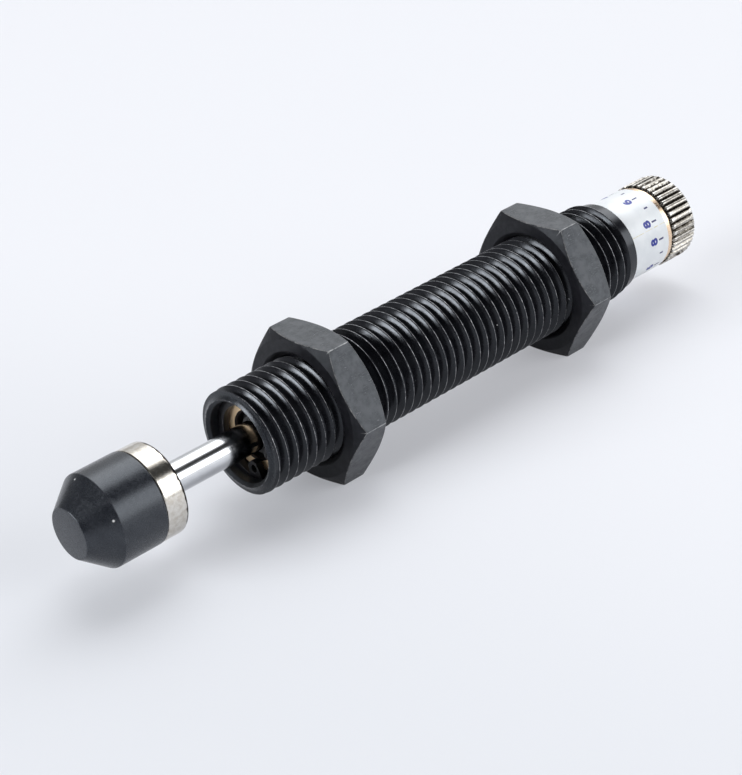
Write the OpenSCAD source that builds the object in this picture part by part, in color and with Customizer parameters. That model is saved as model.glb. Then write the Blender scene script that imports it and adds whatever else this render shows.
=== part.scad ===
// Adjustable industrial shock absorber with a threaded body, M14 x 1.5, 12 mm stroke.
// The shock's axis is X. The origin is on the axis at the body tube's front face.
// -X points to the bumper, +X to the adjuster knob, and the nuts' flats lie level.
// An angle round the axis is measured upwards from the horizontal on the -Y side.

/* [Body tube] */
// Major diameter of the mounting thread
thread_d = 14; // [12:0.5:20]
// Length of the body tube
body_len = 67; // [56:1:100]
// Wall from the gland bore to the thread's crests
gland_wall = 1.6; // [1.35:0.05:1.95]
// Wall from the pressure tube's bore to the thread's crests
main_wall = 2; // [1.7:0.05:2.4]
// Thickness of the tube's rear wall
rear_wall = 6; // [5:0.5:8]
// Width of the chamfer inside the front mouth
mouth_chamfer = 0.5; // [0.3:0.1:0.6]
// Width of the chamfers at the thread's ends
thread_chamfer = 0.6; // [0.3:0.1:0.8]
// Depth of the eccentric metering groove beside the pressure tube
metering_groove_depth = 0.5; // [0.3:0.05:0.55]
// Length of the spigot at the tube's rear
rear_spigot_len = 2.5; // [1.5:0.5:3.5]
// Diameter of the spigot at the tube's rear
rear_spigot_d = 8; // [6.6:0.2:9.6]

/* [Lock nuts] */
// Width across the nuts' flats
nut_af = 19; // [18:0.5:24]
// Thickness of each nut
nut_thickness = 5; // [4:0.5:8]
// Width of the chamfer that rounds off the nuts' faces, seen at a flat's middle
nut_face_margin = 0.15; // [0.1:0.05:1]
// Width of the chamfer in the nuts' bores
nut_bore_chamfer = 0.7; // [0.4:0.1:1]
// Distance from the tube's front face to the front nut
front_nut_x = 10.6; // [6:0.2:20]
// Distance from the rear nut to the tube's rear face
rear_nut_gap = 9.8; // [5:0.2:16]

/* [Rod and stroke] */
// Diameter of the piston rod
rod_d = 4; // [3.3:0.1:4.8]
// Diameter of the rod's two shouldered ends
rod_end_d = 2.8; // [2.4:0.1:3]
// Stroke of the absorber
stroke = 12; // [8:1:16]
// Gap left between the bumper holder and the tube at full stroke
stop_gap = 0.15; // [0.1:0.05:1]

/* [Bumper] */
// Diameter of the bumper cap
cap_d = 12.1; // [10:0.1:15]
// Length of the bumper cap's straight part
cap_straight = 6.2; // [5:0.05:8]
// Length of the bumper cap's conical nose
cap_nose = 3.5; // [2.5:0.05:5]
// Diameter of the flat on the bumper's nose
cap_tip_d = 6.6; // [5:0.2:8]
// Diameter of the bumper holder
holder_d = 12; // [10:0.1:14.8]
// Length of the bumper holder's visible ring
holder_len = 3.15; // [2.6:0.05:4]
// Radius of the holder's rear edge
holder_edge = 0.5; // [0.2:0.1:0.8]
// Diameter of the holder's barb inside the cap
barb_d = 7.8; // [7:0.1:8]
// Length of the holder's barb
barb_len = 1.7; // [1.4:0.1:2]
// Diameter of the holder's neck inside the cap
barb_neck_d = 5.8; // [5:0.1:6]
// Length of the holder's neck
barb_neck_len = 1.8; // [1.4:0.1:2]

/* [Circlip and stop washer] */
// Depth of the circlip's front face below the tube's front face
circlip_depth = 1.6; // [1.2:0.1:2.4]
// Thickness of the circlip
circlip_t = 1; // [0.8:0.1:1.2]
// Depth of the circlip's groove in the gland bore
circlip_groove = 0.35; // [0.25:0.05:0.4]
// Width of the circlip's band opposite its gap
circlip_band = 1.35; // [1:0.05:1.5]
// Direction of the circlip's gap
circlip_gap_angle = -46; // [-180:1:180]
// Angle from the middle of the circlip's gap to each lug
circlip_lug_angle = 34; // [28:1:40]
// Width of the circlip's lugs
circlip_lug_w = 2.3; // [2:0.1:2.5]
// Diameter of the pliers' holes in the lugs
circlip_hole_d = 1.1; // [0.8:0.1:1.2]
// Thickness of the stop washer
stop_washer_t = 1; // [0.8:0.1:1.4]
// Gap round the rod in the stop washer
stop_washer_gap = 1; // [0.8:0.05:1.3]

/* [Gland] */
// Length of the rod wiper behind the washer
wiper_len = 2; // [1.8:0.1:2.6]
// Length of the rod seal
rod_seal_len = 2.2; // [2:0.1:2.6]
// Length of the rod bearing's front flange
bearing_flange_len = 2.4; // [2.2:0.1:3]
// Length of the accumulator foam
foam_len = 7.6; // [6:0.1:9]
// Length of the rod bearing's rear collar
bearing_collar_len = 1.8; // [1.4:0.1:2.4]
// Length of the bearing's spigot in the pressure tube
bearing_spigot_len = 1.7; // [1.4:0.1:2.4]
// Wall of the bearing's sleeve under the foam
bearing_sleeve_wall = 1.25; // [1:0.05:1.6]
// Number of oil ports through the bearing's collar
port_n = 6; // [3:1:8]
// Diameter of an oil port
port_d = 0.9; // [0.6:0.1:1.2]
// Diameter of the O-rings' section
o_ring_d = 0.76; // [0.7:0.02:0.8]

/* [Piston and pressure tube] */
// Wall of the pressure tube
pressure_wall = 0.95; // [0.8:0.05:1]
// Length of the piston
piston_len = 5; // [4:0.25:6]
// Length of the piston ring
piston_ring_len = 1.2; // [1:0.1:1.6]
// Thickness of the piston ring
piston_ring_t = 0.6; // [0.4:0.05:0.7]
// Number of metering orifices
orifice_n = 6; // [3:1:8]
// Diameter of a metering orifice
orifice_d = 0.7; // [0.4:0.1:1]
// Distance from the piston's front to the first orifice at rest
orifice_start = 6; // [5:0.5:8]
// Diameter of the return spring's wire
spring_wire_d = 0.8; // [0.6:0.05:0.9]
// Turns of the return spring
spring_turns = 9.5; // [6:0.5:11]
// Thickness of the spring seat
spring_seat_t = 0.8; // [0.6:0.1:1.2]
// Thickness of the piston nut
piston_nut_t = 2; // [1.6:0.1:2.4]
// Length of rod thread that shows behind the piston nut
rod_tail = 0.4; // [0.2:0.1:1]

/* [Adjuster] */
// Diameter of the adjuster's stem
stem_d = 5; // [4.1:0.1:6]
// Length of the adjuster shaft's plug in the pressure tube
plug_len = 4.7; // [4:0.1:6]
// Thickness of the thrust washer behind the plug
thrust_washer_t = 0.9; // [0.6:0.1:1.2]
// Diameter over the knurl's crests
grip_d = 12.3; // [10.2:0.1:14.8]
// Depth of the scale label below the knurl's crests
label_inset = 0.15; // [0.05:0.05:0.5]
// Thickness of the scale label
label_t = 0.12; // [0.1:0.01:0.2]
// Length of the knob's smooth barrel
barrel_len = 7.95; // [6:0.05:10]
// Length of bare barrel between the label and the grip
barrel_bare = 0.9; // [0.2:0.05:1.5]
// Length of the knurled grip
grip_len = 5; // [4:0.1:8]
// Width of the chamfer at the grip's front, beside the bare barrel
grip_front_chamfer = 0.4; // [0.2:0.05:0.6]
// Width of the chamfer at the grip's rear
grip_rear_chamfer = 0.45; // [0.3:0.05:0.8]
// Number of ribs round the knurl
rib_n = 40; // [24:1:60]
// Depth of the knurl
rib_depth = 0.4; // [0.25:0.05:0.5]
// Direction of the set screw
set_screw_angle = -135; // [-180:5:180]
// Diameter of the set screw
set_screw_d = 2.5; // [2:0.25:3]
// Width across the flats of the set screw's socket
set_screw_socket = 1.27; // [0.9:0.01:1.5]
// Depth of the flat on the stem under the set screw
stem_flat = 0.35; // [0.2:0.05:0.5]

/* [Clearances] */
// Radial clearance of the pieces that slide or turn
run_gap = 0.05; // [0.03:0.01:0.08]
// Gap between pieces that are fixed to each other
seat_gap = 0.02; // [0.01:0.01:0.05]
// Gap at the ends of pieces that move against each other
end_gap = 0.1; // [0.05:0.05:0.2]
// Width of the small bevels on turned pieces
bevel = 0.3; // [0.2:0.05:0.4]

/* [Hidden] */

// Facets of a full circle and of a small one, and the overshoot of a cut past a surface
round_fn = 96;
small_fn = 48;
over = 1;

// Radii of the tube and of what fills it
thread_r = thread_d / 2;
gland_r = thread_r - gland_wall;
main_r = thread_r - main_wall;
gland_fit_r = gland_r - seat_gap;
tube_r = main_r - run_gap;
tube_bore_r = tube_r - pressure_wall;
piston_r = tube_bore_r - run_gap;

// Radii of the rod and of what it passes
rod_r = rod_d / 2;
rod_end_r = rod_end_d / 2;
rod_bore_r = rod_r + run_gap;
washer_hole_r = rod_r + stop_washer_gap;
sleeve_r = rod_bore_r + bearing_sleeve_wall;
spring_r = tube_bore_r - 0.2 - spring_wire_d / 2;

// Radii of the bumper and of the adjuster
cap_r = cap_d / 2;
holder_r = holder_d / 2;
stem_r = stem_d / 2;
spigot_r = rear_spigot_d / 2;
grip_r = grip_d / 2;
label_r = grip_r - label_inset;
barrel_r = label_r - label_t - seat_gap;
stem_flat_r = stem_r - stem_flat;

// Gland, from the mouth backwards
circlip_x = circlip_depth;
stop_washer_x = circlip_x + circlip_t + seat_gap;
wiper_x = stop_washer_x + stop_washer_t + seat_gap;
rod_seal_x = wiper_x + wiper_len + seat_gap;
bearing_x = rod_seal_x + rod_seal_len + seat_gap;
foam_x = bearing_x + bearing_flange_len;
collar_x = foam_x + foam_len;
gland_end_x = collar_x + bearing_collar_len + seat_gap;
spigot_end_x = gland_end_x + bearing_spigot_len;

// O-rings: depth and length of a groove, and its place on the bearing and on the stem
o_ring_depth = o_ring_d + run_gap + seat_gap;
o_ring_room = o_ring_d * 1.4;
bearing_groove_x = bearing_x + (bearing_flange_len - o_ring_room) / 2;

// Pressure tube, plug and rear wall
rear_wall_x = body_len - rear_wall;
tube_end_x = rear_wall_x - thrust_washer_t - end_gap;
tube_x = gland_end_x + end_gap;
plug_x = tube_end_x - plug_len;
stem_groove_x = rear_wall_x + rear_wall / 3;

// Piston, which starts just behind the bearing's spigot
piston_x = spigot_end_x + 4 * end_gap;
piston_groove_len = piston_ring_len + 0.4;
piston_groove_x = piston_x + (piston_len - piston_groove_len) / 2;
spring_seat_x = piston_x + piston_len + seat_gap;
piston_nut_x = spring_seat_x + spring_seat_t + seat_gap;
rod_tail_x = piston_nut_x + piston_nut_t + rod_tail;

// Bumper
holder_x = -(stroke + stop_gap);
holder_front_x = holder_x - holder_len;
cap_rear_x = holder_front_x - seat_gap;
cap_base_x = cap_rear_x - cap_straight;
cap_tip_x = cap_base_x - cap_nose;
rod_shoulder_x = holder_x - holder_len * 2 / 3;

// Nuts
nut_corner_r = nut_af / sqrt(3);
nut_face_r = nut_af / 2 - nut_face_margin;
rear_nut_x = body_len - rear_nut_gap - nut_thickness;

// Adjuster knob
barrel_x = body_len + 3 * end_gap;
skirt_r = spigot_r + 3 * end_gap;
skirt_end_x = body_len + rear_spigot_len + 3 * end_gap;
grip_x = barrel_x + barrel_len;
knob_end_x = grip_x + grip_len;
stem_bore_end_x = knob_end_x - 0.5;
stem_end_x = stem_bore_end_x - bevel;
set_screw_x = grip_x + grip_len / 2;

// A solid turned about the X axis, from points [radius, x]
module turned(points) {
    rotate([0, 90, 0]) rotate_extrude($fn = round_fn) polygon(points);
}

// A ring about the X axis
module ring(r_in, r_out, x, len) {
    turned([[r_in, x], [r_out, x], [r_out, x + len], [r_in, x + len]]);
}

// A cylinder about the X axis
module bar(r, x, len) {
    translate([x, 0, 0]) rotate([0, 90, 0]) cylinder(r = r, h = len, $fn = round_fn);
}

// What stands on the axis at x, turned to an angle, with its own Z axis outwards
module outwards(angle, x) {
    translate([x, 0, 0]) rotate([90 - angle, 0, 0]) children();
}

// A torus about the X axis
module o_ring(mean_r, x) {
    translate([x, 0, 0]) rotate([0, 90, 0]) rotate_extrude($fn = round_fn)
        translate([mean_r, 0]) circle(d = o_ring_d, $fn = small_fn);
}

// Threaded outer tube, at its thread's major diameter
module body_tube() {
    rear_x = body_len + rear_spigot_len;
    groove_r = main_r - metering_groove_depth / 2;
    groove_rise = main_r + metering_groove_depth - groove_r;
    color([0.05, 0.05, 0.06]) difference() {
        turned([
            [0, 0], [thread_r - thread_chamfer, 0], [thread_r, thread_chamfer],
            [thread_r, body_len - thread_chamfer], [thread_r - thread_chamfer, body_len],
            [spigot_r, body_len], [spigot_r, rear_x - bevel], [spigot_r - bevel, rear_x], [0, rear_x]
        ]);
        // Mouth, gland bore and circlip groove
        turned([
            [0, -over], [gland_r + mouth_chamfer + over, -over], [gland_r, mouth_chamfer],
            [gland_r, gland_end_x], [0, gland_end_x]
        ]);
        ring(gland_r - over, gland_r + circlip_groove, circlip_x - seat_gap,
            circlip_t + 2 * seat_gap);
        // Bore for the pressure tube, with the eccentric metering groove above it
        bar(main_r, gland_end_x - over, rear_wall_x - gland_end_x + over);
        translate([0, 0, groove_rise]) bar(groove_r, piston_x, plug_x - piston_x);
        // Bore for the adjuster's stem
        bar(stem_r + run_gap, rear_wall_x - over, rear_wall + rear_spigot_len + 2 * over);
    }
}

// Outline of one circlip lug, which points inwards along its own X axis
module lug_outline(tip_r) {
    round_at = tip_r + circlip_lug_w / 2;
    translate([round_at, 0]) circle(d = circlip_lug_w, $fn = small_fn);
    translate([round_at, -circlip_lug_w / 2]) square([gland_r - round_at, circlip_lug_w]);
}

// Internal retaining ring, widest opposite its gap
module circlip() {
    out_r = gland_r + circlip_groove - seat_gap;
    tip_r = rod_r + 0.55;
    hole_at = tip_r + circlip_lug_w / 2;
    band_r = out_r - circlip_band * 0.72;
    band_shift = band_r + circlip_band - out_r;
    gap_half = circlip_lug_angle - asin(circlip_lug_w / 2 / hole_at) + 4;
    color([0.04, 0.04, 0.05]) rotate([-circlip_gap_angle, 0, 0]) rotate([90, 0, -90]) mirror([0, 0, 1])
        translate([0, 0, circlip_x]) linear_extrude(circlip_t) difference() {
            intersection() {
                circle(r = out_r, $fn = round_fn);
                union() {
                    difference() {
                        circle(r = out_r, $fn = round_fn);
                        translate([band_shift, 0]) circle(r = band_r, $fn = round_fn);
                    }
                    for (side = [-1, 1]) rotate(side * circlip_lug_angle) lug_outline(tip_r);
                }
            }
            // Gap between the lugs
            polygon([[0, 0], for (side = [1, -1]) 2 * out_r * [cos(gap_half), side * sin(gap_half)]]);
            for (side = [-1, 1]) rotate(side * circlip_lug_angle)
                translate([hole_at, 0]) circle(d = circlip_hole_d, $fn = small_fn);
        }
}

// Brass washer that holds the wiper and the seal
module stop_washer() {
    end_x = stop_washer_x + stop_washer_t;
    color([0.85, 0.65, 0.35]) turned([
        [washer_hole_r + bevel / 2, stop_washer_x], [gland_fit_r, stop_washer_x], [gland_fit_r, end_x],
        [washer_hole_r, end_x], [washer_hole_r, stop_washer_x + bevel / 2]
    ]);
}

// Scraper with a lip that stands in the washer's hole
module rod_wiper() {
    end_x = wiper_x + wiper_len;
    lip_x = wiper_x - stop_washer_t * 0.65;
    lip_r = washer_hole_r - bevel;
    relief_r = rod_bore_r + 0.45;
    color([0.08, 0.07, 0.07]) turned([
        [rod_bore_r, lip_x], [lip_r - bevel, lip_x], [lip_r, wiper_x], [gland_fit_r, wiper_x],
        [gland_fit_r, end_x], [relief_r, end_x], [relief_r, wiper_x + wiper_len * 0.4],
        [rod_bore_r, wiper_x + wiper_len * 0.2]
    ]);
}

// U-cup, open towards the oil
module rod_seal() {
    end_x = rod_seal_x + rod_seal_len;
    cup_x = rod_seal_x + rod_seal_len * 0.45;
    lip = 0.7;
    root = 1.1;
    color([0.25, 0.12, 0.08]) turned([
        [rod_bore_r + 0.1, rod_seal_x], [gland_fit_r - 0.15, rod_seal_x], [gland_fit_r, cup_x],
        [gland_fit_r, end_x], [gland_fit_r - lip, end_x], [gland_fit_r - root, cup_x],
        [rod_bore_r + root, cup_x], [rod_bore_r + lip, end_x], [rod_bore_r, end_x], [rod_bore_r, cup_x]
    ]);
}

// Long rod guide: sealed flange, sleeve under the foam, ported collar and spigot
module rod_bearing() {
    groove_r = gland_r - o_ring_depth;
    groove_end_x = bearing_groove_x + o_ring_room;
    collar_end_x = collar_x + bearing_collar_len;
    spigot_r = tube_bore_r - run_gap;
    port_at_r = (gland_r + sleeve_r) / 2;
    color([0.72, 0.52, 0.3]) difference() {
        turned([
            [rod_bore_r, bearing_x], [gland_fit_r, bearing_x], [gland_fit_r, bearing_groove_x],
            [groove_r, bearing_groove_x], [groove_r, groove_end_x], [gland_fit_r, groove_end_x],
            [gland_fit_r, foam_x], [sleeve_r, foam_x], [sleeve_r, collar_x], [gland_fit_r, collar_x],
            [gland_fit_r, collar_end_x], [spigot_r, collar_end_x], [spigot_r, spigot_end_x - bevel],
            [spigot_r - bevel, spigot_end_x], [rod_bore_r, spigot_end_x]
        ]);
        for (i = [0 : port_n - 1]) rotate([i * 360 / port_n, 0, 0]) translate([0, 0, port_at_r])
            bar(port_d / 2, collar_x - over, bearing_collar_len + 2 * over);
    }
}

// Seals the bearing's flange in the gland bore
module bearing_o_ring() {
    color([0.06, 0.06, 0.06]) o_ring(gland_fit_r - o_ring_d / 2, bearing_groove_x + o_ring_room / 2);
}

// Foam sleeve round the bearing, which gives way as the rod enters
module accumulator_foam() {
    color([0.35, 0.36, 0.4])
        ring(sleeve_r + seat_gap, gland_r - end_gap, foam_x + seat_gap, foam_len - 2 * seat_gap);
}

// Inner tube with metering orifices that lie closer together towards the end of the stroke
module pressure_tube() {
    color([0.7, 0.71, 0.73]) difference() {
        ring(tube_bore_r, tube_r, tube_x, tube_end_x - tube_x);
        for (i = [0 : orifice_n - 1]) {
            left = 1 - i / (orifice_n - 1);
            translate([piston_x + orifice_start + stroke * (1 - left * left), 0, tube_bore_r - over])
                cylinder(d = orifice_d, h = pressure_wall + 2 * over, $fn = small_fn);
        }
    }
}

// Plug that closes and turns the pressure tube, with its stem
module adjuster_shaft() {
    plug_r = tube_bore_r - seat_gap;
    groove_r = stem_r - o_ring_depth + run_gap;
    groove_end_x = stem_groove_x + o_ring_room;
    color([0.62, 0.63, 0.65]) difference() {
        turned([
            [0, plug_x], [plug_r - bevel, plug_x], [plug_r, plug_x + bevel], [plug_r, tube_end_x],
            [stem_r, tube_end_x], [stem_r, stem_groove_x], [groove_r, stem_groove_x],
            [groove_r, groove_end_x], [stem_r, groove_end_x], [stem_r, stem_end_x - bevel],
            [stem_r - bevel, stem_end_x], [0, stem_end_x]
        ]);
        // Flat under the set screw
        outwards(set_screw_angle, set_screw_x) translate([-set_screw_d, -stem_d, stem_flat_r])
            cube([2 * set_screw_d + grip_len, 2 * stem_d, stem_d]);
    }
}

// Seals the stem in the tube's rear wall
module adjuster_o_ring() {
    mean_r = stem_r + run_gap - seat_gap - o_ring_d / 2;
    color([0.06, 0.06, 0.06]) o_ring(mean_r, stem_groove_x + o_ring_room / 2);
}

// Takes the oil's thrust on the rear wall
module thrust_washer() {
    washer_x = rear_wall_x - seat_gap - thrust_washer_t;
    color([0.8, 0.62, 0.35])
        ring(stem_r + end_gap, main_r - 2 * end_gap, washer_x, thrust_washer_t);
}

// Outline of the straight knurl: flat crests between V grooves
module knurl_outline() {
    step = 360 / rib_n;
    root_r = grip_r - rib_depth;
    crest_from = 0.3;
    rib = [[0, root_r], [crest_from, grip_r], [1 - crest_from, grip_r]];
    polygon([for (i = [0 : rib_n - 1]) for (p = rib)
        p[1] * [cos((i + p[0]) * step), sin((i + p[0]) * step)]]);
}

// Knob: a smooth barrel that carries the scale, and a knurled grip
module adjuster_knob() {
    proud_r = grip_r + bevel;
    front_r = grip_r - grip_front_chamfer;
    rear_r = grip_r - grip_rear_chamfer;
    color([0.75, 0.72, 0.66]) difference() {
        union() {
            bar(barrel_r, barrel_x, barrel_len);
            intersection() {
                translate([grip_x, 0, 0]) rotate([90, 0, 90]) linear_extrude(grip_len) knurl_outline();
                turned([
                    [0, grip_x], [front_r, grip_x], [proud_r, grip_x + proud_r - front_r],
                    [proud_r, knob_end_x - proud_r + rear_r], [rear_r, knob_end_x], [0, knob_end_x]
                ]);
            }
        }
        // Skirt round the tube's spigot, the stem's bore and the set screw's hole
        bar(skirt_r, barrel_x - over, skirt_end_x - barrel_x + over);
        bar(stem_r + seat_gap, barrel_x, stem_bore_end_x - barrel_x);
        outwards(set_screw_angle, set_screw_x)
            cylinder(d = set_screw_d, h = grip_r + over, $fn = small_fn);
    }
}

// Printed scale wrapped round the knob's barrel
module scale_label() {
    color([0.93, 0.94, 0.96]) ring(label_r - label_t, label_r, barrel_x, barrel_len - barrel_bare);
}

// Grub screw with a hexagon socket, which stands on the stem's flat
module knob_set_screw() {
    foot = stem_flat_r + seat_gap;
    head = grip_r - rib_depth - bevel;
    socket_corners = set_screw_socket * 2 / sqrt(3);
    socket_depth = set_screw_socket;
    color([0.1, 0.1, 0.11]) outwards(set_screw_angle, set_screw_x) difference() {
        translate([0, 0, foot])
            cylinder(r = set_screw_d / 2 - seat_gap, h = head - foot, $fn = small_fn);
        translate([0, 0, head - socket_depth])
            cylinder(d = socket_corners, h = socket_depth + over, $fn = 6);
    }
}

// Chromed rod, shouldered at both ends
module piston_rod() {
    shank_end_x = piston_x - seat_gap;
    nose_x = holder_front_x - barb_neck_len - barb_len / 4;
    color([0.82, 0.83, 0.85]) turned([
        [0, nose_x], [rod_end_r - bevel, nose_x], [rod_end_r, nose_x + bevel],
        [rod_end_r, rod_shoulder_x], [rod_r, rod_shoulder_x], [rod_r, shank_end_x],
        [rod_end_r, shank_end_x],
        [rod_end_r, rod_tail_x - bevel], [rod_end_r - bevel, rod_tail_x], [0, rod_tail_x]
    ]);
}

// Piston head, with a groove for its ring
module piston() {
    bore_r = rod_end_r + seat_gap;
    groove_r = piston_r - piston_ring_t - 0.15;
    groove_end_x = piston_groove_x + piston_groove_len;
    end_x = piston_x + piston_len;
    color([0.55, 0.56, 0.58]) turned([
        [bore_r, piston_x], [piston_r - bevel, piston_x], [piston_r, piston_x + bevel],
        [piston_r, piston_groove_x], [groove_r, piston_groove_x], [groove_r, groove_end_x],
        [piston_r, groove_end_x], [piston_r, end_x - bevel], [piston_r - bevel, end_x], [bore_r, end_x]
    ]);
}

// Split ring that floats in the piston's groove and works as the check valve
module piston_ring() {
    out_r = tube_bore_r - run_gap / 2;
    split = 0.4;
    color([0.5, 0.35, 0.2]) difference() {
        ring(out_r - piston_ring_t, out_r, piston_groove_x + 0.2, piston_ring_len);
        translate([piston_x, -split / 2, 0]) cube([piston_len, split, tube_r]);
    }
}

// Washer that the spring pushes against
module spring_seat() {
    color([0.6, 0.6, 0.62])
        ring(rod_end_r + seat_gap, tube_bore_r - 2 * end_gap, spring_seat_x, spring_seat_t);
}

// Hexagon nut on the rod's rear thread, inside the spring
module piston_nut() {
    corner_r = spring_r - spring_wire_d / 2 - 3 * end_gap;
    color([0.6, 0.6, 0.6]) difference() {
        translate([piston_nut_x, 0, 0]) rotate([0, 90, 0])
            cylinder(r = corner_r, h = piston_nut_t, $fn = 6);
        bar(rod_end_r + seat_gap, piston_nut_x - over, piston_nut_t + 2 * over);
    }
}

// Coil from the spring seat to the plug, with one closed turn at each end
module return_spring() {
    wire_r = spring_wire_d / 2;
    from = piston_nut_x + wire_r;
    length = plug_x - seat_gap - wire_r - from;
    closed_pitch = spring_wire_d * 1.06;
    open_pitch = (length - 2 * closed_pitch) / (spring_turns - 2);
    steps = 22;
    sides = 8;
    last = spring_turns * steps;
    function advance(turn) = turn < 1 ? turn * closed_pitch
        : turn > spring_turns - 1 ? length - (spring_turns - turn) * closed_pitch
        : closed_pitch + (turn - 1) * open_pitch;
    points = [for (i = [0 : last]) for (k = [0 : sides - 1])
        let (turn = i / steps, side = k * 360 / sides, r = spring_r + wire_r * cos(side))
        [from + advance(turn) + wire_r * sin(side), r * cos(turn * 360), r * sin(turn * 360)]];
    walls = [for (i = [0 : last - 1]) for (k = [0 : sides - 1]) let (next = (k + 1) % sides)
        [i * sides + k, i * sides + next, (i + 1) * sides + next, (i + 1) * sides + k]];
    front = [for (k = [0 : sides - 1]) sides - 1 - k];
    back = [for (k = [0 : sides - 1]) last * sides + k];
    color([0.65, 0.65, 0.68]) polyhedron(points, concat([front, back], walls));
}

// Nickel-plated ring with a barbed stem that holds the cap
module bumper_holder() {
    arc_n = 6;
    edge_at = [holder_r - holder_edge, holder_x - holder_edge];
    neck_x = holder_front_x - barb_neck_len;
    barb_x = neck_x - barb_len;
    barb_r = barb_d / 2;
    color([0.78, 0.75, 0.7]) difference() {
        turned([
            [0, barb_x], [barb_r * 0.8, barb_x], [barb_r, neck_x - barb_len / 3], [barb_r, neck_x],
            [barb_neck_d / 2, neck_x], [barb_neck_d / 2, holder_front_x],
            [holder_r - bevel / 2, holder_front_x], [holder_r, holder_front_x + bevel / 2],
            for (i = [0 : arc_n]) let (turn = i * 90 / arc_n)
                edge_at + holder_edge * [cos(turn), sin(turn)],
            [0, holder_x]
        ]);
        // Seats of the rod's shank and of its nose
        bar(rod_r + seat_gap, rod_shoulder_x - seat_gap, holder_x - rod_shoulder_x + over);
        bar(rod_end_r + seat_gap, neck_x - barb_len / 2, rod_shoulder_x - neck_x + barb_len / 2);
    }
}

// Urethane bumper with a conical nose, moulded round the holder's barb
module bumper_cap() {
    tip_r = cap_tip_d / 2;
    neck_x = cap_rear_x - barb_neck_len + seat_gap;
    barb_x = neck_x - barb_len - seat_gap;
    barb_r = barb_d / 2 + seat_gap;
    neck_r = barb_neck_d / 2 + seat_gap;
    color([0.07, 0.07, 0.08]) turned([
        [0, cap_tip_x], [tip_r - bevel / 2, cap_tip_x], [tip_r + bevel / 4, cap_tip_x + bevel / 3],
        [cap_r - bevel / 4, cap_base_x - bevel / 3], [cap_r, cap_base_x + bevel / 2],
        [cap_r, cap_rear_x - bevel / 2], [cap_r - bevel / 2, cap_rear_x], [neck_r, cap_rear_x],
        [neck_r, neck_x], [barb_r, neck_x], [barb_r, neck_x - barb_len / 3],
        [barb_r * 0.8, barb_x], [0, barb_x]
    ]);
}

// Hexagon lock nut with both faces chamfered at 30 degrees, its front face at x
module lock_nut(x) {
    bore_r = thread_r + run_gap;
    proud_r = nut_corner_r + bevel;
    drop = (proud_r - nut_face_r) * tan(30);
    end_x = x + nut_thickness;
    color([0.12, 0.12, 0.13]) difference() {
        intersection() {
            translate([x, 0, 0]) rotate([30, 0, 0]) rotate([0, 90, 0])
                cylinder(r = nut_corner_r, h = nut_thickness, $fn = 6);
            turned([
                [0, x], [nut_face_r, x], [proud_r, x + drop], [proud_r, end_x - drop],
                [nut_face_r, end_x], [0, end_x]
            ]);
        }
        bar(bore_r, x - over, nut_thickness + 2 * over);
        for (side = [0, 1]) translate([side * (x + end_x), 0, 0]) mirror([side, 0, 0])
            turned([
                [0, x - over], [bore_r + nut_bore_chamfer + over, x - over],
                [bore_r, x + nut_bore_chamfer], [0, x + nut_bore_chamfer]
            ]);
    }
}

module front_nut() {
    lock_nut(front_nut_x);
}

module rear_nut() {
    lock_nut(rear_nut_x);
}

body_tube();
circlip();
stop_washer();
rod_wiper();
rod_seal();
rod_bearing();
bearing_o_ring();
accumulator_foam();
pressure_tube();
adjuster_shaft();
adjuster_o_ring();
thrust_washer();
adjuster_knob();
scale_label();
knob_set_screw();
piston_rod();
piston();
piston_ring();
spring_seat();
piston_nut();
return_spring();
bumper_holder();
bumper_cap();
front_nut();
rear_nut();
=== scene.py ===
import math

import bmesh
import bpy
from mathutils import Matrix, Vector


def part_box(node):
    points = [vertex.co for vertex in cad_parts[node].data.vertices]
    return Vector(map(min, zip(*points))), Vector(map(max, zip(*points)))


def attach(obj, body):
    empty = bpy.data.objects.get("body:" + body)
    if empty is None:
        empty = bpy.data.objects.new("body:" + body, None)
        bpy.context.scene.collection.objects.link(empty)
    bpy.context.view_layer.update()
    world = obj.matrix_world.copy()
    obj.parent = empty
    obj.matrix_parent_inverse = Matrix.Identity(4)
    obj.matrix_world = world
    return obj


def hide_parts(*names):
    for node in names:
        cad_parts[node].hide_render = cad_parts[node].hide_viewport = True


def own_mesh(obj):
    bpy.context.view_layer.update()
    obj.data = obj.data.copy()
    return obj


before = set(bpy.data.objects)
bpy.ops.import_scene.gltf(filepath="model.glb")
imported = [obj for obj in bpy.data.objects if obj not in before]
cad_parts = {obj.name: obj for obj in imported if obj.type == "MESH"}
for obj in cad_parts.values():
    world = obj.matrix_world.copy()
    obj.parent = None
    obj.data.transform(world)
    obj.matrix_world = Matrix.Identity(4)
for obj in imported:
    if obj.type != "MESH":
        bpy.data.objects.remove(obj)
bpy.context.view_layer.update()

scene = bpy.context.scene
MM = 0.001
PI = math.pi


def span(node):
    """Front and rear ends of a CAD node along the axis, in mm."""
    low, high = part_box(node)
    return low[0] / MM, high[0] / MM


def radius(node):
    """Largest distance of a turned CAD node from the axis, in mm."""
    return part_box(node)[1][2] / MM


def clamp(value, low=0, high=1):
    return max(low, min(high, value))


# ---- Sizes that model.glb gives, in mm: x along the axis from the tube's mouth, r from the axis

TUBE_R = radius("body_tube")
TUBE_END = span("body_tube")[1]
CLIP_X, CLIP_END = span("circlip")
WASHER_X, WASHER_END = span("stop_washer")
RING_X, RING_END = span("bumper_holder")
CAP_TIP = span("bumper_cap")[0]
CAP_R = radius("bumper_cap")
RING_R = radius("bumper_holder")
ROD_X, ROD_END = span("piston_rod")
PISTON_X = span("piston")[0]
LABEL_X, LABEL_END = span("scale_label")
LABEL_R = radius("scale_label")
KNOB_X, KNOB_END = span("adjuster_knob")
GRIP_R = radius("adjuster_knob")


# ---- Sizes inside those pieces, in mm

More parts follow.
